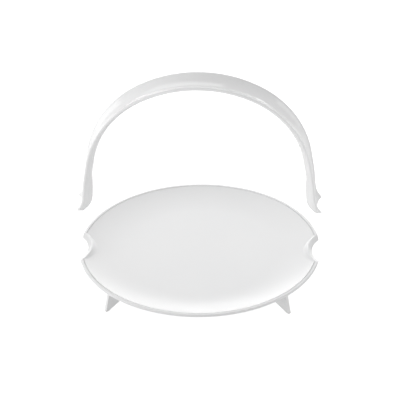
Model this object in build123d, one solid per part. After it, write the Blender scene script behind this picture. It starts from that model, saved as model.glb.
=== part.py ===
"""Carry tray on a turning base.

A round notched tray, a lift-off arched handle, and a four-legged base with a ball bearing.
Millimetres. +Z is up, Z is the turning axis, and the surface the feet stand on is Z = 0.
The tray's notches lie on +X and -X. The handle is drawn lifted off; it comes straight down by HANDLE_LIFT to
sit in the notches.
"""

from build123d import *

import os
from math import cos, radians, sin, sqrt

# Tray
RIM_R = 150.0
RIM_Z = 34.0
RIM_FACE_H = 3.4
LIP_W = 3.0
LIP_GROOVE_W = 1.2
LIP_GROOVE_DEPTH = 0.7
FLOOR_R = 96.0
FLOOR_Z = 26.0
SHEET = 2.5
PLINTH_R = 58.0
PLINTH_H = 1.5

# Notches: three plan curves, each an arc given by where it crosses X and where it meets the rim
NOTCH_FOOT = (128.0, 46.0)
NOTCH_CREST_IN = (134.0, 37.0)
NOTCH_CREST_OUT = (135.2, 35.5)
NOTCH_EDGE = (139.5, 27.0)
NOTCH_EDGE_Z = 31.2
NOTCH_CORE_W = 3.0
NOTCH_CORE_TOP_Z = 31.3

# Handle: a strip of hollow "(" section that follows an arch
BAND_HALF_W = 19.2
BAND_T = 4.0
BEAD = 1.5
ARCH_TOP_Z = 183.0
TOP_ARC_R = 154.5
TOP_ARC_DEG = 28.5
SHOULDER_R = 125.2
SHOULDER_END_DEG = 82.0
SAG = 6.9
TOE_ROUND_R = 27.0
HANDLE_SEATED_Z = 28.4
HANDLE_LIFT = 62.0
# Lower leg: height above the toe, X of the hollow inner face at mid width, X of the two long edges
LEG_STATIONS = (
    (52.0, 130.2, 140.9),
    (42.0, 130.0, 142.0),
    (31.0, 130.4, 142.8),
    (22.0, 130.8, 143.9),
    (15.0, 131.5, 146.0),
    (10.5, 132.8, 148.8),
    (7.5, 134.8, 151.0),
    (5.0, 137.6, 151.6),
    (2.0, 140.4, 151.8),
    (-1.0, 141.4, 151.9),
)

# Base: hub, four arms that end in blade feet
HUB_R = 60.0
HUB_Z = (9.5, 12.0)
HUB_COLLAR_R = 12.0
HUB_COLLAR_TOP_Z = 14.5
PIVOT_R = 8.0
PIVOT_FIT = 0.1
SKIRT_R = (18.0, 20.0)
SKIRT_BOTTOM_Z = 3.5
FOOT_ANGLES = (40.0, 140.0, 220.0, 320.0)
FOOT_NAMES = ("rear_right", "rear_left", "front_left", "front_right")
BLADE_T = 3.7
BLADE_TIP_R = (143.9, 147.3)
BLADE_LEAN = 0.213
BLADE_SLOPE = 2.35
BLADE_TOP_GAP = 1.3
ARM_BOTTOM_Z = 12.0
ARM_FLANGE_W = 14.0
ARM_FLANGE_T = 2.4
PAD_H = 1.6
PAD_PEG_R = 1.0
PAD_PEG_H = 3.0

# Bearing
PITCH_R = 45.0
BALL_R = 2.38
TRACK_R = 2.40
BALL_Z = 17.0
BALL_COUNT = 24
RACE_R = (38.0, 57.0)
RACE_RIDGE_HALF_W = 3.6
RACE_T = 1.2
RACE_HALF_STACK = 5.0
RACE_GAP = 1.5
CAGE_R = (39.5, 50.5)
CAGE_T = 1.0
CAGE_POCKET_R = 2.5
RACE_SCREW_PITCH_R = 53.0
RACE_SCREW_COUNT = 4
UPPER_SCREW_TURN = 45.0
RACE_SCREW_R = 1.2
RACE_SCREW_HEAD_R = 2.2
RACE_SCREW_HEAD_H = 1.5
RACE_SCREW_REACH = 3.0
SCREW_BOSS_R = 3.6
SCREW_BOSS_H = 3.0

# Pivot retention
PIVOT_BOTTOM_Z = 9.2
WASHER_R = 12.0
WASHER_T = 1.5
PIVOT_SCREW_R = 2.0
PIVOT_SCREW_LENGTH = 11.0
PIVOT_SCREW_HEAD_R = 4.0
PIVOT_SCREW_HEAD_H = 2.4
SLOT_W = 1.0
SLOT_DEPTH = 0.8
CAP_FLANGE_T = 1.0
CAP_PLUG_R = (15.9, 17.9)
CAP_PLUG_H = 3.0


def disc(r, z0, z1):
    """A round plate about Z between two heights."""
    return Pos(0, 0, z0) * Cylinder(r, z1 - z0, align=(Align.CENTER, Align.CENTER, Align.MIN))


def ring(r0, r1, z0, z1):
    """A flat ring about Z between two heights."""
    return disc(r1, z0, z1) - disc(r0, z0 - 1, z1 + 1)


def common(first, second):
    """The solids that two shapes share."""
    return (first & second).solids()[0]


def around(count, radius, start_deg=0.0):
    """Places at even steps on a circle about Z."""
    return PolarLocations(radius, count, start_angle=start_deg)


DISH_RUN = RIM_R - LIP_W - LIP_GROOVE_W - FLOOR_R
DISH_RISE = RIM_Z - 0.6 - FLOOR_Z
DISH_R = (DISH_RUN**2 + DISH_RISE**2) / (2 * DISH_RISE)


def dish_z(r):
    """Height of the tray's upper face at a radius outside its flat floor."""
    return FLOOR_Z + DISH_R - sqrt(DISH_R**2 - (r - FLOOR_R) ** 2)


def notch_arc(curve, z):
    """The plan arc of a notch curve on the +X side, at a height."""
    x_mid, half_y = curve
    end_x = RIM_R + 0.6
    return ThreePointArc((end_x, -half_y, z), (x_mid, 0, z), (end_x, half_y, z))


def outside_notch(curve, z):
    """A flat face that covers everything on the outer side of a notch curve."""
    arc = notch_arc(curve, z)
    half_y = curve[1]
    far_x = RIM_R + 20
    end_x = RIM_R + 0.6
    border = Polyline((end_x, half_y, z), (far_x, half_y, z), (far_x, -half_y, z), (end_x, -half_y, z))
    return make_face([arc, border])


def tray_blank():
    """The tray before it is hollowed: true underside and rim face, flat top at rim height."""
    face_z = RIM_Z - RIM_FACE_H
    under_z = FLOOR_Z - SHEET
    mid_r = (FLOOR_R + RIM_R) / 2
    profile = make_face(
        [
            Polyline(
                (0, RIM_Z),
                (RIM_R - 0.5, RIM_Z),
                (RIM_R, RIM_Z - 0.5),
                (RIM_R, face_z),
                (RIM_R - LIP_W, face_z - 0.2),
            ),
            ThreePointArc((RIM_R - LIP_W, face_z - 0.2), (mid_r, dish_z(mid_r) - SHEET), (FLOOR_R, under_z)),
            Polyline(
                (FLOOR_R, under_z),
                (PLINTH_R, under_z),
                (PLINTH_R, under_z - PLINTH_H),
                (PIVOT_R, under_z - PLINTH_H),
                (PIVOT_R, PIVOT_BOTTOM_Z),
                (0, PIVOT_BOTTOM_Z),
                (0, RIM_Z),
            ),
        ]
    )
    return revolve(Plane.XZ * profile, Axis.Z)


def dish_space():
    """What is scooped out of the blank: the flat floor, the coved wall and the fine groove inside the lip."""
    wall_end = RIM_R - LIP_W - LIP_GROOVE_W
    groove_z = RIM_Z - LIP_GROOVE_DEPTH - 0.3
    mid_r = (FLOOR_R + wall_end) / 2
    profile = make_face(
        [
            Line((0, FLOOR_Z), (FLOOR_R, FLOOR_Z)),
            ThreePointArc((FLOOR_R, FLOOR_Z), (mid_r, dish_z(mid_r)), (wall_end, dish_z(wall_end))),
            Polyline(
                (wall_end, dish_z(wall_end)),
                (wall_end + 0.2, groove_z),
                (RIM_R - LIP_W, groove_z),
                (RIM_R - LIP_W + 0.4, RIM_Z + 1),
                (0, RIM_Z + 1),
                (0, FLOOR_Z),
            ),
        ]
    )
    return revolve(Plane.XZ * profile, Axis.Z)


def tray():
    lip_foot_z = dish_z(NOTCH_FOOT[0]) - 0.6
    lip = loft([outside_notch(NOTCH_FOOT, lip_foot_z), outside_notch(NOTCH_CREST_IN, RIM_Z)])
    ramp = loft([outside_notch(NOTCH_EDGE, NOTCH_EDGE_Z), outside_notch(NOTCH_CREST_OUT, RIM_Z + 0.01)])
    gap = extrude(outside_notch(NOTCH_EDGE, 0), RIM_Z + 1)
    core_r = NOTCH_CREST_IN[0]
    core = extrude(outside_notch((core_r + 0.3, NOTCH_CREST_IN[1]), 0), NOTCH_CORE_TOP_Z)
    core -= extrude(outside_notch((core_r + NOTCH_CORE_W, NOTCH_CREST_IN[1] - 4), 0), NOTCH_CORE_TOP_Z)
    core = common(core, disc(RIM_R - 4, 0, NOTCH_CORE_TOP_Z))
    sides = (Rot(0, 0, 0), Rot(0, 0, 180))
    body = tray_blank() - (dish_space() - [side * lip for side in sides])
    body -= [side * cutter for side in sides for cutter in (ramp, gap, core)]
    body -= Pos(0, 0, PIVOT_BOTTOM_Z - 1) * Cylinder(
        PIVOT_SCREW_R, PIVOT_SCREW_LENGTH + 1, align=(Align.CENTER, Align.CENTER, Align.MIN)
    )
    body -= around(RACE_SCREW_COUNT, RACE_SCREW_PITCH_R, UPPER_SCREW_TURN) * disc(
        RACE_SCREW_R, FLOOR_Z - SHEET - PLINTH_H - 1, FLOOR_Z - SHEET - PLINTH_H + RACE_SCREW_REACH
    )
    return body


def handle_section(x_edge, z_edge, lean_deg, sag):
    """The hollow strip's outline, square to the arch, with its long edges through (x_edge, z_edge)."""
    lean = radians(lean_deg)
    out = Vector(sin(lean), 0, cos(lean))
    plane = Plane(origin=(x_edge, 0, z_edge), x_dir=(0, 1, 0), z_dir=out.cross(Vector(0, 1, 0)))
    sign = 1 if plane.y_dir.dot(out) > 0 else -1

    def at(y, depth):
        return (y, -sign * depth)

    w = BAND_HALF_W
    shape = [
        ThreePointArc(at(-w, 0), at(0, sag), at(w, 0)),
        ThreePointArc(at(w, 0), at(w + BEAD, BAND_T * 0.45), at(w - 0.6, BAND_T * 0.95)),
        ThreePointArc(at(w - 0.6, BAND_T * 0.95), at(0, sag + BAND_T), at(-w + 0.6, BAND_T * 0.95)),
        ThreePointArc(at(-w + 0.6, BAND_T * 0.95), at(-w - BEAD, BAND_T * 0.45), at(-w, 0)),
    ]
    return plane * make_face(shape)


def carry_handle():
    turn = radians(TOP_ARC_DEG)
    end = radians(SHOULDER_END_DEG)
    top_centre = (0, 0, ARCH_TOP_Z - TOP_ARC_R)
    step = TOP_ARC_R - SHOULDER_R
    shoulder_centre = (step * sin(turn), 0, top_centre[2] + step * cos(turn))
    crown = handle_section(0, ARCH_TOP_Z, 0, SAG)
    top = revolve(crown, Axis(top_centre, (0, 1, 0)), TOP_ARC_DEG)
    end_x = shoulder_centre[0] + SHOULDER_R * sin(end)
    end_z = shoulder_centre[2] + SHOULDER_R * cos(end)
    lowest = handle_section(end_x, end_z, SHOULDER_END_DEG, SAG)
    shoulder = revolve(lowest, Axis(shoulder_centre, (0, -1, 0)), SHOULDER_END_DEG - TOP_ARC_DEG)
    sections = [lowest]
    for height, x_inner, x_edge in LEG_STATIONS:
        sections.append(handle_section(x_edge, height, 90.0, x_edge - x_inner - BAND_T))
    half = top + shoulder + loft(sections)
    toe = ThreePointArc((-TOE_ROUND_R, TOE_ROUND_R), (0, 0), (TOE_ROUND_R, TOE_ROUND_R))
    above = Polyline(
        (TOE_ROUND_R, TOE_ROUND_R),
        (30, TOE_ROUND_R),
        (30, ARCH_TOP_Z + 10),
        (-30, ARCH_TOP_Z + 10),
        (-30, TOE_ROUND_R),
        (-TOE_ROUND_R, TOE_ROUND_R),
    )
    envelope = extrude(Plane.YZ * make_face([toe, above]), 200)
    half = common(half, envelope)
    whole = half + mirror(half, Plane.YZ)
    return Pos(0, 0, HANDLE_SEATED_Z + HANDLE_LIFT) * whole


def blade():
    """One arm and its blade foot, along +X."""
    tip_in, tip_out = BLADE_TIP_R
    top_r = tip_out - BLADE_LEAN * (dish_z(140) - SHEET - BLADE_TOP_GAP)
    top_z = dish_z(140) - SHEET - BLADE_TOP_GAP
    mid_r = (FLOOR_R + top_r) / 2
    low_r = tip_in - BLADE_SLOPE * ARM_BOTTOM_Z
    flat_z = FLOOR_Z - SHEET - BLADE_TOP_GAP
    outline = make_face(
        [
            Polyline(
                (tip_in - BLADE_SLOPE * PAD_H, PAD_H),
                (low_r, ARM_BOTTOM_Z),
                (HUB_R - 6, ARM_BOTTOM_Z),
                (HUB_R - 6, HUB_Z[0]),
                (HUB_R - 1, HUB_Z[0]),
            ),
            Polyline(
                (tip_in - BLADE_SLOPE * PAD_H, PAD_H),
                (tip_out - BLADE_LEAN * PAD_H, PAD_H),
                (top_r, top_z),
            ),
            ThreePointArc((top_r, top_z), (mid_r, dish_z(mid_r) - SHEET - BLADE_TOP_GAP), (FLOOR_R, flat_z)),
            Polyline((FLOOR_R, flat_z), (HUB_R, flat_z), (HUB_R - 1, HUB_Z[0])),
        ]
    )
    fin = extrude(Plane.XZ * outline, BLADE_T / 2, both=True)
    flange_end = low_r + 4
    flange = Box(
        flange_end - HUB_R + 4,
        ARM_FLANGE_W,
        ARM_FLANGE_T,
        align=(Align.MIN, Align.CENTER, Align.MIN),
    )
    arm = fin + Pos(HUB_R - 4, 0, ARM_BOTTOM_Z - ARM_FLANGE_T) * flange
    peg_r = (tip_in + tip_out) / 2 - 1.0
    return arm - Pos(peg_r, 0, 0) * disc(PAD_PEG_R, 0, PAD_H + PAD_PEG_H)


def base_spider():
    body = disc(HUB_R, *HUB_Z) + disc(HUB_COLLAR_R, HUB_Z[0], HUB_COLLAR_TOP_Z)
    body += ring(*SKIRT_R, SKIRT_BOTTOM_Z, HUB_Z[0])
    body += around(RACE_SCREW_COUNT, RACE_SCREW_PITCH_R) * disc(
        SCREW_BOSS_R, HUB_Z[0] - SCREW_BOSS_H, HUB_Z[0]
    )
    for angle in FOOT_ANGLES:
        body += Rot(0, 0, angle) * blade()
    body -= disc(PIVOT_R + PIVOT_FIT, 0, FLOOR_Z)
    body -= around(RACE_SCREW_COUNT, RACE_SCREW_PITCH_R) * disc(
        RACE_SCREW_R, HUB_Z[1] - RACE_SCREW_REACH - 1.5, HUB_Z[1] + 1
    )
    return body


def foot_pad():
    tip_in, tip_out = BLADE_TIP_R
    outline = make_face(
        Polyline(
            (tip_in, 0),
            (tip_out, 0),
            (tip_out - BLADE_LEAN * PAD_H, PAD_H),
            (tip_in - BLADE_SLOPE * PAD_H, PAD_H),
            close=True,
        )
    )
    pad = extrude(Plane.XZ * outline, BLADE_T / 2, both=True)
    peg_r = (tip_in + tip_out) / 2 - 1.0
    return pad + Pos(peg_r, 0, 0) * disc(PAD_PEG_R, PAD_H, PAD_H + PAD_PEG_H)


def race():
    """The lower race: flat ring with a raised ridge that carries the ball track."""
    base_z = BALL_Z - RACE_HALF_STACK
    inner, outer = PITCH_R - RACE_RIDGE_HALF_W, PITCH_R + RACE_RIDGE_HALF_W
    body = ring(*RACE_R, base_z, base_z + RACE_T) + ring(inner, outer, base_z, BALL_Z - RACE_GAP)
    body -= Pos(0, 0, BALL_Z) * Torus(PITCH_R, TRACK_R)
    hole = disc(RACE_SCREW_R + 0.2, base_z - 1, base_z + RACE_T + 1)
    return body - around(RACE_SCREW_COUNT, RACE_SCREW_PITCH_R) * hole


def upper_race():
    turned = Pos(0, 0, 2 * BALL_Z) * Rot(180, 0, 0) * race()
    return Rot(0, 0, UPPER_SCREW_TURN) * turned


def bearing_balls():
    balls = around(BALL_COUNT, PITCH_R) * (Pos(0, 0, BALL_Z) * Sphere(BALL_R))
    return Compound(children=list(balls))


def ball_cage():
    half = CAGE_T / 2
    pocket = disc(CAGE_POCKET_R, BALL_Z - half - 1, BALL_Z + half + 1)
    return ring(*CAGE_R, BALL_Z - half, BALL_Z + half) - around(BALL_COUNT, PITCH_R) * pocket


def screw(shank_r, reach, head_r, head_h):
    """A slotted pan-head screw, head down with its seat at Z = 0 and its shank up."""
    head = disc(head_r, -head_h, 0)
    head = fillet(head.edges().sort_by(Axis.Z)[0], head_h * 0.45)
    slot = Pos(0, 0, -head_h) * Box(3 * head_r, SLOT_W, 2 * SLOT_DEPTH)
    return head + disc(shank_r, 0, reach) - slot


def race_screws(upper):
    reach = RACE_T + RACE_SCREW_REACH - 0.2
    piece = screw(RACE_SCREW_R - 0.02, reach, RACE_SCREW_HEAD_R, RACE_SCREW_HEAD_H)
    if upper:
        seat_z = BALL_Z + RACE_HALF_STACK - RACE_T
        placed = around(RACE_SCREW_COUNT, RACE_SCREW_PITCH_R, UPPER_SCREW_TURN) * (Pos(0, 0, seat_z) * piece)
    else:
        seat_z = BALL_Z - RACE_HALF_STACK + RACE_T
        placed = around(RACE_SCREW_COUNT, RACE_SCREW_PITCH_R) * (Pos(0, 0, seat_z) * Rot(180, 0, 0) * piece)
    return Compound(children=list(placed))


def retaining_washer():
    return ring(PIVOT_SCREW_R + 0.2, WASHER_R, PIVOT_BOTTOM_Z - WASHER_T, PIVOT_BOTTOM_Z)


def retaining_screw():
    piece = screw(PIVOT_SCREW_R - 0.02, PIVOT_SCREW_LENGTH, PIVOT_SCREW_HEAD_R, PIVOT_SCREW_HEAD_H)
    return Pos(0, 0, PIVOT_BOTTOM_Z - WASHER_T) * piece


def hub_cap():
    flange = disc(SKIRT_R[1], SKIRT_BOTTOM_Z - CAP_FLANGE_T, SKIRT_BOTTOM_Z)
    flange = chamfer(flange.edges().sort_by(Axis.Z)[0], 0.5)
    return flange + ring(*CAP_PLUG_R, SKIRT_BOTTOM_Z, SKIRT_BOTTOM_Z + CAP_PLUG_H)


nodes = {
    "tray": tray(),
    "carry_handle": carry_handle(),
    "base_spider": base_spider(),
    "lower_race": race(),
    "upper_race": upper_race(),
    "bearing_balls": bearing_balls(),
    "ball_cage": ball_cage(),
    "lower_race_screws": race_screws(upper=False),
    "upper_race_screws": race_screws(upper=True),
    "retaining_washer": retaining_washer(),
    "retaining_screw": retaining_screw(),
    "hub_cap": hub_cap(),
}
for foot_name, foot_angle in zip(FOOT_NAMES, FOOT_ANGLES):
    nodes["foot_pad_" + foot_name] = Rot(0, 0, foot_angle) * foot_pad()

os.makedirs("parts", exist_ok=True)
for node_name, node_shape in nodes.items():
    export_step(node_shape, f"parts/{node_name}.step")
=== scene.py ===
"""Looks of the carry tray on its turning base: white moulded plastic under soft studio light.

Metres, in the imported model's frame: Z = 0 is the surface under the feet, Z is the turning axis and -Y faces
the viewer. The tray and the carry handle get smooth meshes of their own. The base, its pads and the bearing
keep their CAD shapes and get materials.
"""

from math import cos, hypot, pi, radians, sin, sqrt

import bmesh
import bpy
from mathutils import Matrix, Vector


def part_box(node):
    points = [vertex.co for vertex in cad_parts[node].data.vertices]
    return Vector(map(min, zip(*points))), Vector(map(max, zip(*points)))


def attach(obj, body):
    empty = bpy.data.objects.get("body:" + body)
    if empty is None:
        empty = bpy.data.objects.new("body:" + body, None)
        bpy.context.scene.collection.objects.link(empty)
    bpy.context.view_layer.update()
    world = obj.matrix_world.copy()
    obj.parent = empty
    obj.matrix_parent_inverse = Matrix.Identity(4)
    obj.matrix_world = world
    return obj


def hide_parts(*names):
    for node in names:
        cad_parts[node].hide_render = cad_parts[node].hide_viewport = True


MM = 0.001

# Meshes: vertices nearer than this are one
WELD = 1e-7

# Tray. The lip stands at the rim, with a fine groove inside it; the dish is a flat floor and a cove
RIM_R = 150.0 * MM
RIM_Z = 34.0 * MM
RIM_FACE_H = 3.4 * MM
RIM_ROUND = 0.9 * MM
LIP_INNER_R = 146.8 * MM
GROOVE_OUTER_R = 146.2 * MM
GROOVE_INNER_R = 145.6 * MM
GROOVE_Z = 32.5 * MM
FLOOR_R = 96.0 * MM
FLOOR_Z = 26.0 * MM
DISH_END_R = 145.1 * MM
DISH_END_Z = 33.4 * MM
SHEET = 2.5 * MM
PLINTH_R = 58.0 * MM
PLINTH_Z = 22.0 * MM
PIVOT_R = 8.0 * MM
PIVOT_BOTTOM_Z = 9.2 * MM
PIVOT_HOLE_R = 2.0 * MM
PIVOT_HOLE_TOP_Z = FLOOR_Z - SHEET - 3.0 * MM

# Notches. Each curve is a plan arc: where it crosses X, and half its width where it ends just outside the rim
NOTCH_FOOT = (128.0 * MM, 46.0 * MM)
NOTCH_CREST_IN = (134.0 * MM, 37.0 * MM)
NOTCH_CREST_OUT = (135.2 * MM, 35.5 * MM)
NOTCH_EDGE = (139.5 * MM, 27.0 * MM)
NOTCH_EDGE_Z = 31.2 * MM
NOTCH_FOOT_Z = 28.2 * MM
NOTCH_OVERSHOOT = 0.6 * MM
NOTCH_BLEND = 0.9 * MM
NOTCH_FADE = 6.0 * MM

# Rings of the tray's mesh. The lip's rings follow the edge, at these steps inward in mm: they take in the end
# of the dish, both sides of the groove, the foot of the lip and the start of the rounded rim
FLOOR_RINGS = 8
COVE_RINGS = 15
COVE_RING_STEP = 2.0 * MM
LIP_RING_STEPS = (
    5.2, 4.98, 4.9, 4.8, 4.6, 4.4, 4.3, 4.1, 3.9, 3.8,
    3.6, 3.35, 3.2, 3.1, 2.9, 2.4, 1.8, 1.2, 0.9,
)
RIM_ROUND_RINGS = 5
FINE_TURN_DEG = 0.22
COARSE_TURN_DEG = 1.25
FINE_HALF_DEG = 20.0

# Handle: a strip of gutter section bent to an arch, with a round bead along both long edges
BAND_HALF_W = 19.2 * MM
BAND_T = 4.0 * MM
BEAD = 1.5 * MM
BEAD_R = 2.1 * MM
BEAD_DEG = (-75.0, 145.0)
ARCH_TOP_Z = 183.0 * MM
TOP_ARC_R = 154.5 * MM
TOP_ARC_DEG = 28.5
SHOULDER_R = 125.2 * MM
SHOULDER_END_DEG = 82.0
SAG = 6.9 * MM
TOE_ROUND_R = 27.0 * MM
TOE_EDGE_ROUND = 1.3 * MM
# Down a leg, in mm: height, X of the inner face's middle, X of the long edges
LEG_STATIONS = (
    (52.0, 130.2, 140.9),
    (42.0, 130.0, 142.0),
    (31.0, 130.4, 142.8),
    (22.0, 130.8, 143.9),
    (15.0, 131.5, 146.0),
    (10.5, 132.8, 148.8),
    (7.5, 134.8, 151.0),
    (5.0, 137.6, 151.5),
    (2.0, 140.4, 151.7),
    (-1.0, 141.4, 151.8),
)
# Steps of its mesh. The rows of a leg stop short of the toe, whose edge is rounded in turns
SECTION_STEPS = 28
BEAD_STEPS = 18
ARCH_STEPS = 41
LEG_STEPS = 44
LEG_ROWS = 41
TOE_TURNS_DEG = (0, 22, 45, 68, 90)

# Camera, in degrees and metres. The picture spans PICTURE_WIDTH at the distance of the rim's centre, which
# lies this far right of the picture's middle and this far below it
CAMERA_AZIMUTH = 2.2
CAMERA_ELEVATION = 32.0
CAMERA_ROLL = 0.6
CAMERA_DISTANCE = 3.5
SENSOR = 0.036
PICTURE_WIDTH = 0.4979
RIM_CENTRE_RIGHT = -0.0002
RIM_CENTRE_DOWN = 0.0585

# Floor, in metres: so wide that its far edge shows only in very low views. The camera sees that far
FLOOR_HALF = 40.0
CLIP_END = 100.0

scene = bpy.context.scene
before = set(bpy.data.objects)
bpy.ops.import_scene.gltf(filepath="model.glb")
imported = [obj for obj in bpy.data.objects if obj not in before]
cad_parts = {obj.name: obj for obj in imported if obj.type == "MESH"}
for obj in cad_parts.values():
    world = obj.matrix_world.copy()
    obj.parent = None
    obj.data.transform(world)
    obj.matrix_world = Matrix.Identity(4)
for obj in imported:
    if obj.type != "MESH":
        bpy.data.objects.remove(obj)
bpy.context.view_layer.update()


# ---------------------------------------------------------------- camera, light and floor


def add_camera():
    """A long lens in front, above and a little to the right, rolled so that the right side stands higher."""
    az = radians(CAMERA_AZIMUTH)
    el = radians(CAMERA_ELEVATION)
    back = Vector((sin(az) * cos(el), -cos(az) * cos(el), sin(el)))
    right = Vector((cos(az), sin(az), 0.0))
    turn = Matrix.Rotation(radians(-CAMERA_ROLL), 3, back)
    right = turn @ right
    up = back.cross(right)
    aim = Vector((0.0, 0.0, RIM_Z)) + up * RIM_CENTRE_DOWN - right * RIM_CENTRE_RIGHT
    data = bpy.data.cameras.new("photo_camera")
    data.sensor_width = SENSOR * 1000
    data.lens = SENSOR * 1000 * CAMERA_DISTANCE / PICTURE_WIDTH
    data.clip_end = CLIP_END
    camera = bpy.data.objects.new("photo_camera", data)
    axes = Matrix((right, up, back)).transposed().to_4x4()
    camera.matrix_world = Matrix.Translation(aim + back * CAMERA_DISTANCE) @ axes
    scene.collection.objects.link(camera)
    scene.camera = camera


def area_light(name, place, aim, size, power):
    """A soft box at a place, turned to an aim. Its size is width and height, its power is in watts."""
    data = bpy.data.lights.new(name, "AREA")
    data.shape = "RECTANGLE"
    data.size, data.size_y = size
    data.energy = power
    light = bpy.data.objects.new(name, data)
    light.location = place
    light.rotation_euler = (Vector(aim) - Vector(place)).to_track_quat("-Z", "Y").to_euler()
    scene.collection.objects.link(light)


def add_lights():
    """Soft boxes in a white room: two behind, a wide one on the left, weak ones on the right and in front."""
    area_light("rear_low", (0.0, 1.6, 0.4), (0.0, 0.0, 0.05), (1.8, 0.6), 10.0)
    area_light("rear_high", (-0.3, 1.2, 1.3), (0.0, 0.0, 0.05), (1.4, 0.9), 6.0)
    area_light("left", (-1.6, -0.15, 0.45), (0.0, 0.0, 0.1), (2.0, 0.9), 11.0)
    area_light("right", (1.6, -0.1, 0.6), (0.0, 0.0, 0.1), (1.2, 0.9), 5.0)
    area_light("front_low", (-0.7, -1.7, 0.35), (0.0, 0.0, 0.1), (1.2, 0.5), 4.5)
    world = bpy.data.worlds.new("white_room")
    world.use_nodes = True
    background = world.node_tree.nodes["Background"]
    background.inputs["Color"].default_value = (1.0, 1.0, 1.0, 1.0)
    background.inputs["Strength"].default_value = 0.54
    scene.world = world


def add_floor():
    """A flat white sheet that glows a little, bright enough to read as the paper of a product picture."""
    material = bpy.data.materials.new("floor_paper")
    material.use_nodes = True
    shader = material.node_tree.nodes["Principled BSDF"]
    shader.inputs["Base Color"].default_value = (0.95, 0.95, 0.95, 1.0)
    shader.inputs["Roughness"].default_value = 0.9
    shader.inputs["Specular IOR Level"].default_value = 0.1
    shader.inputs["Emission Color"].default_value = (1.0, 1.0, 1.0, 1.0)
    shader.inputs["Emission Strength"].default_value = 0.55
    half = FLOOR_HALF
    corners = [(-half, -half, 0), (half, -half, 0), (half, half, 0), (-half, half, 0)]
    mesh = bpy.data.meshes.new("floor")
    mesh.from_pydata(corners, [], [(0, 1, 2, 3)])
    mesh.materials.append(material)
    floor = bpy.data.objects.new("floor", mesh)
    scene.collection.objects.link(floor)
    # The floor's glow stays off the object's matt shading, so the feet and the underside keep their shade
    floor.visible_diffuse = False


# ---------------------------------------------------------------- materials


def new_material(name):
    """A node material: returns it with its tree, its shader and the object coordinates."""
    material = bpy.data.materials.new(name)
    material.use_nodes = True
    tree = material.node_tree
    coords = tree.nodes.new("ShaderNodeTexCoord")
    return material, tree, tree.nodes["Principled BSDF"], coords.outputs["Object"]


def noise(tree, coords, scale, detail=2.0, roughness=0.5):
    """A noise value over the object. A larger scale gives a finer grain."""
    node = tree.nodes.new("ShaderNodeTexNoise")
    node.inputs["Scale"].default_value = scale
    node.inputs["Detail"].default_value = detail
    node.inputs["Roughness"].default_value = roughness
    tree.links.new(coords, node.inputs["Vector"])
    return node.outputs["Fac"]


def spread(tree, value, low, high):
    """Maps the middle of a noise's values, where most of them lie, onto a range."""
    node = tree.nodes.new("ShaderNodeMapRange")
    node.inputs["From Min"].default_value = 0.3
    node.inputs["From Max"].default_value = 0.7
    node.inputs["To Min"].default_value = low
    node.inputs["To Max"].default_value = high
    tree.links.new(value, node.inputs["Value"])
    return node.outputs["Result"]


def mottle(tree, factor, light, dark):
    """Mixes two near colours by a noise value."""
    node = tree.nodes.new("ShaderNodeMix")
    node.data_type = "RGBA"
    # For colours, this node's sockets are 0 for the factor, 6 and 7 for the colours, and 2 for the result
    node.inputs[6].default_value = (*light, 1.0)
    node.inputs[7].default_value = (*dark, 1.0)
    tree.links.new(factor, node.inputs[0])
    return node.outputs[2]


def bump(tree, shader, layers):
    """Chains bump layers of (height, strength, distance) into the shader's normal."""
    last = None
    for height, strength, distance in layers:
        node = tree.nodes.new("ShaderNodeBump")
        node.inputs["Strength"].default_value = strength
        node.inputs["Distance"].default_value = distance
        tree.links.new(height, node.inputs["Height"])
        if last:
            tree.links.new(last, node.inputs["Normal"])
        last = node.outputs["Normal"]
    tree.links.new(last, shader.inputs["Normal"])


def moulded_plastic(name, light, dark, rough, grain=0.12):
    """Injection-moulded plastic: faint flow mottling, uneven gloss, orange peel and a fine grain."""
    material, tree, shader, coords = new_material(name)
    cloud = spread(tree, noise(tree, coords, 9.0, 3.0), 0.0, 1.0)
    tree.links.new(mottle(tree, cloud, light, dark), shader.inputs["Base Color"])
    wear = noise(tree, coords, 60.0, 4.0, 0.6)
    tree.links.new(spread(tree, wear, *rough), shader.inputs["Roughness"])
    peel = noise(tree, coords, 420.0, 2.0)
    fine = noise(tree, coords, 2600.0, 1.0)
    bump(tree, shader, [(peel, grain, 0.00005), (fine, grain, 0.00001)])
    shader.inputs["IOR"].default_value = 1.49
    shader.inputs["Subsurface Weight"].default_value = 0.08
    shader.inputs["Subsurface Radius"].default_value = (0.004, 0.004, 0.004)
    return material


def soft_rubber():
    """Matt off-white rubber with a fine grain."""
    material, tree, shader, coords = new_material("foot_rubber")
    cloud = spread(tree, noise(tree, coords, 90.0, 3.0), 0.0, 1.0)
    tree.links.new(mottle(tree, cloud, (0.80, 0.80, 0.79), (0.72, 0.72, 0.71)), shader.inputs["Base Color"])
    tree.links.new(spread(tree, noise(tree, coords, 500.0), 0.65, 0.8), shader.inputs["Roughness"])
    bump(tree, shader, [(noise(tree, coords, 1800.0, 3.0), 0.35, 0.00004)])
    return material


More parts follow.
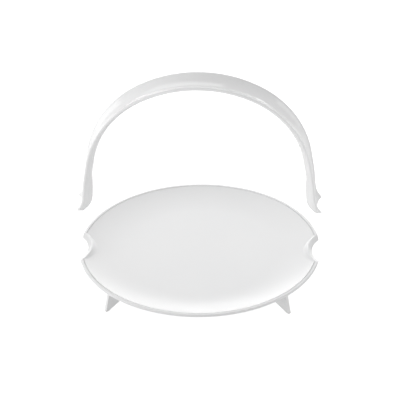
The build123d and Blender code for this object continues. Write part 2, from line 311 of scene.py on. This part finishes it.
def steel(name, light, dark, rough, brushed=False):
    """Plated or polished steel. Brushing runs in rings round the turning axis."""
    material, tree, shader, coords = new_material(name)
    if brushed:
        # The noise sees only the distance from the axis and the height, so it is the same all the way round
        split = tree.nodes.new("ShaderNodeSeparateXYZ")
        tree.links.new(coords, split.inputs["Vector"])
        radius = tree.nodes.new("ShaderNodeVectorMath")
        radius.operation = "LENGTH"
        flat = tree.nodes.new("ShaderNodeCombineXYZ")
        tree.links.new(split.outputs["X"], flat.inputs["X"])
        tree.links.new(split.outputs["Y"], flat.inputs["Y"])
        tree.links.new(flat.outputs["Vector"], radius.inputs[0])
        ringed = tree.nodes.new("ShaderNodeCombineXYZ")
        tree.links.new(radius.outputs["Value"], ringed.inputs["X"])
        tree.links.new(split.outputs["Z"], ringed.inputs["Z"])
        source = ringed.outputs["Vector"]
    else:
        source = coords
    streak = noise(tree, source, 1500.0, 4.0, 0.7)
    cloud = spread(tree, noise(tree, coords, 55.0, 3.0), 0.0, 1.0)
    tree.links.new(mottle(tree, cloud, light, dark), shader.inputs["Base Color"])
    tree.links.new(spread(tree, streak, *rough), shader.inputs["Roughness"])
    bump(tree, shader, [(streak, 0.25, 0.00002)])
    shader.inputs["Metallic"].default_value = 1.0
    return material


# ---------------------------------------------------------------- mesh helpers


def mesh_piece(name, verts, faces, material, body, node):
    """A smooth-shaded mesh that rides on a body and stands for one CAD node."""
    mesh = bpy.data.meshes.new(name)
    mesh.from_pydata(verts, [], faces)
    mesh.materials.append(material)
    clean = bmesh.new()
    clean.from_mesh(mesh)
    bmesh.ops.remove_doubles(clean, verts=clean.verts, dist=WELD)
    bmesh.ops.dissolve_degenerate(clean, edges=clean.edges, dist=WELD)
    bmesh.ops.recalc_face_normals(clean, faces=clean.faces)
    clean.to_mesh(mesh)
    clean.free()
    for polygon in mesh.polygons:
        polygon.use_smooth = True
    piece = bpy.data.objects.new(name, mesh)
    scene.collection.objects.link(piece)
    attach(piece, body)
    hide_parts(node)


def skin(rows, count):
    """Four-sided faces between closed rows of vertices that start at the given indices."""
    faces = []
    for low, high in zip(rows, rows[1:]):
        for k in range(count):
            n = (k + 1) % count
            faces.append((low + k, low + n, high + n, high + k))
    return faces


def smooth_step(t):
    """Rises from 0 to 1 with a level start and end."""
    t = min(max(t, 0.0), 1.0)
    return t * t * (3.0 - 2.0 * t)


def soft_max(a, b, width):
    """The larger of two heights, with the crease between them rounded."""
    blend = max(width - abs(a - b), 0.0) / width
    return max(a, b) + blend * blend * width / 4.0


def soft_min(a, b, width):
    """The smaller of two heights, with the crease between them rounded."""
    return -soft_max(-a, -b, width)


def spline(points, x):
    """A smooth curve through points whose first values rise or fall: returns the other values at x."""
    count = len(points)
    i = 0
    while i < count - 2 and (points[i + 1][0] - x) * (points[-1][0] - points[0][0]) < 0:
        i += 1
    before, start = points[max(i - 1, 0)], points[i]
    end, after = points[i + 1], points[min(i + 2, count - 1)]
    span = end[0] - start[0]
    t = (x - start[0]) / span
    values = []
    for k in range(1, len(start)):
        slope_0 = (end[k] - before[k]) / (end[0] - before[0]) * span
        slope_1 = (after[k] - start[k]) / (after[0] - start[0]) * span
        keep = (2 * t**3 - 3 * t**2 + 1) * start[k] + (t**3 - 2 * t**2 + t) * slope_0
        values.append(keep + (3 * t**2 - 2 * t**3) * end[k] + (t**3 - t**2) * slope_1)
    return values


# ---------------------------------------------------------------- tray


DISH_RUN = DISH_END_R - FLOOR_R
DISH_RISE = DISH_END_Z - FLOOR_Z
DISH_CURVE_R = (DISH_RUN**2 + DISH_RISE**2) / (2 * DISH_RISE)


def dish_z(r):
    """Upper face of the sheet: flat floor, then a cove tangent to it."""
    run = max(r - FLOOR_R, 0.0)
    return FLOOR_Z + DISH_CURVE_R - sqrt(DISH_CURVE_R**2 - run * run)


def arc_of(curve):
    """Centre and radius of a notch's plan arc, which crosses X at its middle and ends near the rim."""
    mid_x, half_y = curve
    depth = RIM_R + NOTCH_OVERSHOOT - mid_x
    radius = (half_y**2 + depth**2) / (2 * depth)
    return mid_x + radius, radius


def outside(curve, x, y):
    """How far a point lies on the outer side of a notch arc. Negative towards the middle of the tray."""
    centre, radius = arc_of(curve)
    return radius - hypot(x - centre, y)


def rim_profile(r):
    """Upper face in plain radial section: dish, fine groove, lip."""
    if r <= DISH_END_R:
        return dish_z(r)
    if r < GROOVE_INNER_R:
        return DISH_END_Z + (GROOVE_Z - DISH_END_Z) * (r - DISH_END_R) / (GROOVE_INNER_R - DISH_END_R)
    if r < GROOVE_OUTER_R:
        return GROOVE_Z
    rise = min((r - GROOVE_OUTER_R) / (LIP_INNER_R - GROOVE_OUTER_R), 1.0)
    return GROOVE_Z + (RIM_Z - GROOVE_Z) * rise


def top_z(x, y):
    """Upper face of the tray anywhere inside its outline.

    Round a notch it climbs from the foot to a crest as high as the rim, then falls to the notch's edge.
    """
    x = abs(x)
    z = rim_profile(hypot(x, y))
    past_foot = outside(NOTCH_FOOT, x, y)
    if past_foot > 0:
        to_crest = max(-outside(NOTCH_CREST_IN, x, y), 0.0)
        rise = past_foot / (past_foot + to_crest)
        flank = NOTCH_FOOT_Z + (RIM_Z - NOTCH_FOOT_Z) * rise
        z = soft_max(z, flank, NOTCH_BLEND)
    past_crest = outside(NOTCH_CREST_OUT, x, y)
    to_edge = max(-outside(NOTCH_EDGE, x, y), 0.0)
    drop = past_crest / max(abs(past_crest) + to_edge, 1e-9)
    ramp = RIM_Z - (RIM_Z - NOTCH_EDGE_Z) * drop
    z = soft_min(z, ramp, NOTCH_BLEND)
    return min(z, RIM_Z)


def outline_r(angle):
    """Distance from the axis to the tray's edge in a direction."""
    x, y = abs(cos(angle)), sin(angle)
    centre, radius = arc_of(NOTCH_EDGE)
    reach = radius**2 - (centre * y) ** 2
    if reach <= 0:
        return RIM_R
    hit = centre * x - sqrt(reach)
    return min(RIM_R, hit)


def tray_angles():
    """Directions round the tray, close together across the notches."""
    fine, coarse = radians(FINE_TURN_DEG), radians(COARSE_TURN_DEG)
    dense_half = radians(FINE_HALF_DEG)
    angles = []
    angle = -dense_half
    while angle < 2 * pi - dense_half - 1e-9:
        angles.append(angle)
        near = abs((angle + pi / 2) % pi - pi / 2)
        angle += fine if near < dense_half else coarse
    return angles


def under_z(r):
    """Underside of the sheet."""
    return dish_z(r) - SHEET


def face_bottom(angle):
    """Height of the lower edge of the rim's outer face. In a notch the face is only as high as the sheet."""
    edge = outline_r(angle)
    full = RIM_Z - RIM_FACE_H
    sheet = under_z(edge)
    share = smooth_step((RIM_R - edge) / NOTCH_FADE)
    return full + (sheet - full) * share


# A ring of the tray's mesh is a function of the direction: it returns a distance from the axis and a height


def plain_ring(r, z):
    """A ring at one distance and one height."""
    return lambda angle: (r, z)


def upper_ring(r_of):
    """A ring on the upper face. Its distance from the axis may change with the direction."""

    def place(angle):
        r = r_of(angle)
        return r, top_z(r * cos(angle), r * sin(angle))

    return place


def following_edge(step, start_r):
    """Distance of a ring that runs a step inside the edge. The step shrinks where a notch cuts in."""

    def r_of(angle):
        edge = outline_r(angle)
        squeeze = (edge - start_r) / (RIM_R - start_r)
        return edge - step * squeeze

    return r_of


def rounding_ring(inset, drop):
    """A ring on the rounded top of the rim."""

    def place(angle):
        r = outline_r(angle) - inset
        return r, top_z(r * cos(angle), r * sin(angle)) - drop

    return place


def face_ring(inset, lift):
    """A ring round the lower edge of the rim's outer face, and always below the rounded top."""

    def place(angle):
        edge = outline_r(angle)
        top_now = top_z((edge - RIM_ROUND) * cos(angle), (edge - RIM_ROUND) * sin(angle)) - RIM_ROUND
        return edge - inset, min(face_bottom(angle) + lift, top_now - 0.1 * MM)

    return place


def under_ring(inset):
    """A ring on the underside that follows the edge."""

    def place(angle):
        r = outline_r(angle) - inset
        return r, min(under_z(r), face_bottom(angle) + 0.2 * MM)

    return place


def upper_rings():
    """From the middle of the dish out to the start of the rounded rim."""
    radii = [FLOOR_R * k / FLOOR_RINGS for k in range(1, FLOOR_RINGS)]
    radii += [FLOOR_R + COVE_RING_STEP * k for k in range(COVE_RINGS)]
    start_r = radii[-1]
    # Every millimetre, then every half millimetre, then the lip's own steps
    steps = [(RIM_R - start_r) / MM - k for k in range(1, 10)]
    steps += [16.0 - 0.5 * k for k in range(22)]
    steps += LIP_RING_STEPS
    rings = [upper_ring(lambda angle, r=r: r) for r in radii]
    return rings + [upper_ring(following_edge(step * MM, start_r)) for step in steps]


def rim_rings():
    """Over the rounded top of the rim and down its outer face."""
    turns = [pi / 2 * k / RIM_ROUND_RINGS for k in range(1, RIM_ROUND_RINGS + 1)]
    rings = [rounding_ring(RIM_ROUND * (1 - sin(turn)), RIM_ROUND * (1 - cos(turn))) for turn in turns]
    # The lower edge is a small round: inset and lift in mm
    for inset, lift in ((0.0, 0.5), (0.12, 0.18), (0.5, 0.0), (1.4, 0.0)):
        rings.append(face_ring(inset * MM, lift * MM))
    return rings


def under_rings():
    """Back under the sheet, then down the plinth and the pivot and up into the pivot's hole."""
    rings = [under_ring(inset * MM) for inset in (3.0, 5.0, 8.0, 11.0, 15.0)]
    for r in (122.0, 114.0, 106.0, 100.0, 96.0, 80.0, 62.0, 59.0, 58.3):
        rings.append(plain_ring(r * MM, under_z(r * MM)))
    corner = 0.3 * MM
    section = (
        (PLINTH_R, FLOOR_Z - SHEET - corner),
        (PLINTH_R, PLINTH_Z + corner),
        (PLINTH_R - corner, PLINTH_Z),
        (PIVOT_R + 1.5 * MM, PLINTH_Z),
        (PIVOT_R + 0.4 * MM, PLINTH_Z - 0.4 * MM),
        (PIVOT_R, PLINTH_Z - 1.5 * MM),
        (PIVOT_R, PIVOT_BOTTOM_Z + corner),
        (PIVOT_R - corner, PIVOT_BOTTOM_Z),
        (PIVOT_HOLE_R, PIVOT_BOTTOM_Z),
        (PIVOT_HOLE_R, PIVOT_HOLE_TOP_Z),
    )
    return rings + [plain_ring(r, z) for r, z in section]


def add_tray(material):
    """One closed skin of rings, with triangles over the middle of the dish and over the pivot's hole."""
    angles = tray_angles()
    count = len(angles)
    verts = []
    rows = []
    for ring in upper_rings() + rim_rings() + under_rings():
        rows.append(len(verts))
        for angle in angles:
            r, z = ring(angle)
            verts.append((r * cos(angle), r * sin(angle), z))
    faces = skin(rows, count)
    for first, z in ((rows[0], FLOOR_Z), (rows[-1], PIVOT_HOLE_TOP_Z)):
        centre = len(verts)
        verts.append((0.0, 0.0, z))
        for k in range(count):
            faces.append((centre, first + (k + 1) % count, first + k))
    mesh_piece("tray_shell", verts, faces, material, "tray", "tray")


# ---------------------------------------------------------------- handle


def arch_stations():
    """Places along half the arch from the top down: X and Z of the long edges, and the lean in degrees."""
    stations = []
    top_centre_z = ARCH_TOP_Z - TOP_ARC_R
    step = TOP_ARC_R - SHOULDER_R
    turn = radians(TOP_ARC_DEG)
    for k in range(ARCH_STEPS + 1):
        lean_deg = SHOULDER_END_DEG * k / ARCH_STEPS
        lean = radians(lean_deg)
        if lean_deg <= TOP_ARC_DEG:
            x, z = TOP_ARC_R * sin(lean), top_centre_z + TOP_ARC_R * cos(lean)
        else:
            x = step * sin(turn) + SHOULDER_R * sin(lean)
            z = top_centre_z + step * cos(turn) + SHOULDER_R * cos(lean)
        stations.append((x, z, lean_deg))
    return stations


def arc_depth(y, half_w, sag):
    """Depth at y of a circular hollow, which has this half width and is this deep in the middle."""
    radius = (half_w**2 + sag**2) / (2 * sag)
    return sag - radius + sqrt(max(radius**2 - y * y, 0.0))


def strip_section(sag):
    """The strip's closed outline as (y, depth): hollow outer face, round bead, bulging inner face, bead."""
    centre_y = BAND_HALF_W + BEAD - BEAD_R
    bead = []
    for k in range(BEAD_STEPS + 1):
        angle = radians(BEAD_DEG[0] + (BEAD_DEG[1] - BEAD_DEG[0]) * k / BEAD_STEPS)
        bead.append((centre_y + BEAD_R * sin(angle), BEAD_R * (1 - cos(angle))))
    (crease_y, crease_depth), (inner_y, inner_depth) = bead[0], bead[-1]
    outer, inner = [], []
    for k in range(1, SECTION_STEPS):
        across = sin(pi / 2 * (2 * k / SECTION_STEPS - 1))
        y = crease_y * across
        outer.append((y, crease_depth + arc_depth(y, crease_y, sag - crease_depth)))
        y = -inner_y * across
        inner.append((y, inner_depth + arc_depth(y, inner_y, sag + BAND_T - inner_depth)))
    other = [(-y, depth) for y, depth in reversed(bead)]
    return outer + bead + inner + other


def inset_loop(loop, inset):
    """Moves a closed outline inward by a distance."""
    if inset == 0:
        return loop
    moved = []
    count = len(loop)
    for k in range(count):
        (y0, d0), (y1, d1) = loop[k - 1], loop[(k + 1) % count]
        length = hypot(y1 - y0, d1 - d0)
        moved.append((loop[k][0] - inset * (d1 - d0) / length, loop[k][1] + inset * (y1 - y0) / length))
    return moved


def toe_bottom(y):
    """Height of the leg's rounded lower end at a place across the strip."""
    return TOE_ROUND_R - sqrt(max(TOE_ROUND_R**2 - y * y, 0.0))


def leg_stations():
    """Down a leg from the end of the arch: height, X of the inner face's middle, X of the long edges."""
    end_x, end_z, _ = arch_stations()[-1]
    return [(end_z, end_x - SAG - BAND_T, end_x)] + [tuple(v * MM for v in row) for row in LEG_STATIONS]


def arch_row(station, side, low):
    """One section of the arch. Side is 1 on the right and -1 on the left; low is the height of the toes."""
    x, z, lean_deg = station
    lean = radians(lean_deg)
    row = []
    for y, depth in strip_section(SAG):
        row.append((side * (x - depth * sin(lean)), y, low + z - depth * cos(lean)))
    return row


def leg_row(stations, height, side, low, inset=0.0, rise=0.0):
    """One section of a leg. It is level at the arch, and at height 0 it follows the rounded toe."""
    top = stations[0][0]
    lean = radians(90.0 - (90.0 - SHOULDER_END_DEG) * height / top)
    row = []
    for index, (y, _) in enumerate(inset_loop(strip_section(SAG), inset)):
        bottom = toe_bottom(y)
        z = bottom + rise + (top - bottom) * height / top
        x_inner, x_edge = spline(stations, z)
        loop = inset_loop(strip_section(x_edge - x_inner - BAND_T), inset)
        y_now, depth = loop[index]
        row.append((side * (x_edge - depth * sin(lean)), y_now, low + z - depth * cos(lean)))
    return row


def toe_faces(row):
    """Closes the end of a leg: strips between the outer and the inner face, and one face over each bead."""
    half = SECTION_STEPS + BEAD_STEPS
    last_outer = SECTION_STEPS - 2
    faces = []
    for k in range(last_outer):
        across = last_outer + half - k
        faces.append((row + k, row + k + 1, row + across - 1, row + across))
    for first in (last_outer, last_outer + half):
        faces.append(tuple(row + (first + j) % (2 * half) for j in range(BEAD_STEPS + 3)))
    return faces


def half_handle(side, low):
    """Sections from the top of the arch down to the toe on one side."""
    stations = leg_stations()
    top = stations[0][0]
    sections = [arch_row(station, side, low) for station in arch_stations()]
    for k in range(1, LEG_ROWS + 1):
        sections.append(leg_row(stations, top * (1 - k / LEG_STEPS), side, low))
    for turn_deg in TOE_TURNS_DEG:
        turn = radians(turn_deg)
        inset, rise = TOE_EDGE_ROUND * (1 - cos(turn)), TOE_EDGE_ROUND * (1 - sin(turn))
        sections.append(leg_row(stations, 0.0, side, low, inset, rise))
    return sections


def add_handle(material):
    """One closed skin of sections, from the left toe over the arch to the right toe."""
    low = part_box("carry_handle")[1][2] - ARCH_TOP_Z
    sections = half_handle(-1, low)[:0:-1] + half_handle(1, low)
    count = len(sections[0])
    verts = [vertex for section in sections for vertex in section]
    rows = [count * k for k in range(len(sections))]
    faces = skin(rows, count) + toe_faces(rows[0]) + toe_faces(rows[-1])
    mesh_piece("handle_arch", verts, faces, material, "handle", "carry_handle")


# ---------------------------------------------------------------- putting it together

add_camera()
add_lights()
add_floor()

# Each finish: its name, its light and its dark colour, and the range of its roughness
tray_plastic = moulded_plastic("tray_plastic", (0.83, 0.83, 0.83), (0.815, 0.817, 0.82), (0.29, 0.36))
# The handle is the tray's white plastic. Its colours are painted lighter than the tray's, as painted light
# standing in for light bounced up from the floor
handle_plastic = moulded_plastic("handle_plastic", (0.94, 0.94, 0.94), (0.92, 0.922, 0.925), (0.10, 0.16))
base_plastic = moulded_plastic("base_plastic", (0.86, 0.86, 0.86), (0.83, 0.832, 0.835), (0.30, 0.42), 0.2)
cap_plastic = moulded_plastic("cap_plastic", (0.84, 0.84, 0.84), (0.80, 0.80, 0.80), (0.45, 0.6), 0.3)
cage_plastic = moulded_plastic("cage_plastic", (0.78, 0.77, 0.73), (0.72, 0.71, 0.67), (0.45, 0.6), 0.2)
race_steel = steel("race_steel", (0.60, 0.60, 0.62), (0.50, 0.50, 0.52), (0.25, 0.45), brushed=True)
ball_steel = steel("ball_steel", (0.75, 0.75, 0.77), (0.70, 0.70, 0.72), (0.06, 0.12))
screw_steel = steel("screw_steel", (0.62, 0.62, 0.63), (0.52, 0.52, 0.53), (0.3, 0.45))
foot_rubber = soft_rubber()

finishes = {
    "base_spider": base_plastic,
    "lower_race": race_steel,
    "upper_race": race_steel,
    "bearing_balls": ball_steel,
    "ball_cage": cage_plastic,
    "lower_race_screws": screw_steel,
    "upper_race_screws": screw_steel,
    "retaining_washer": screw_steel,
    "retaining_screw": screw_steel,
    "hub_cap": cap_plastic,
}
for node_name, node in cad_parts.items():
    finish = foot_rubber if node_name.startswith("foot_pad") else finishes.get(node_name)
    if finish:
        for material_slot in node.material_slots:
            material_slot.material = finish

add_tray(tray_plastic)
add_handle(handle_plastic)

scene.view_settings.view_transform = "Standard"
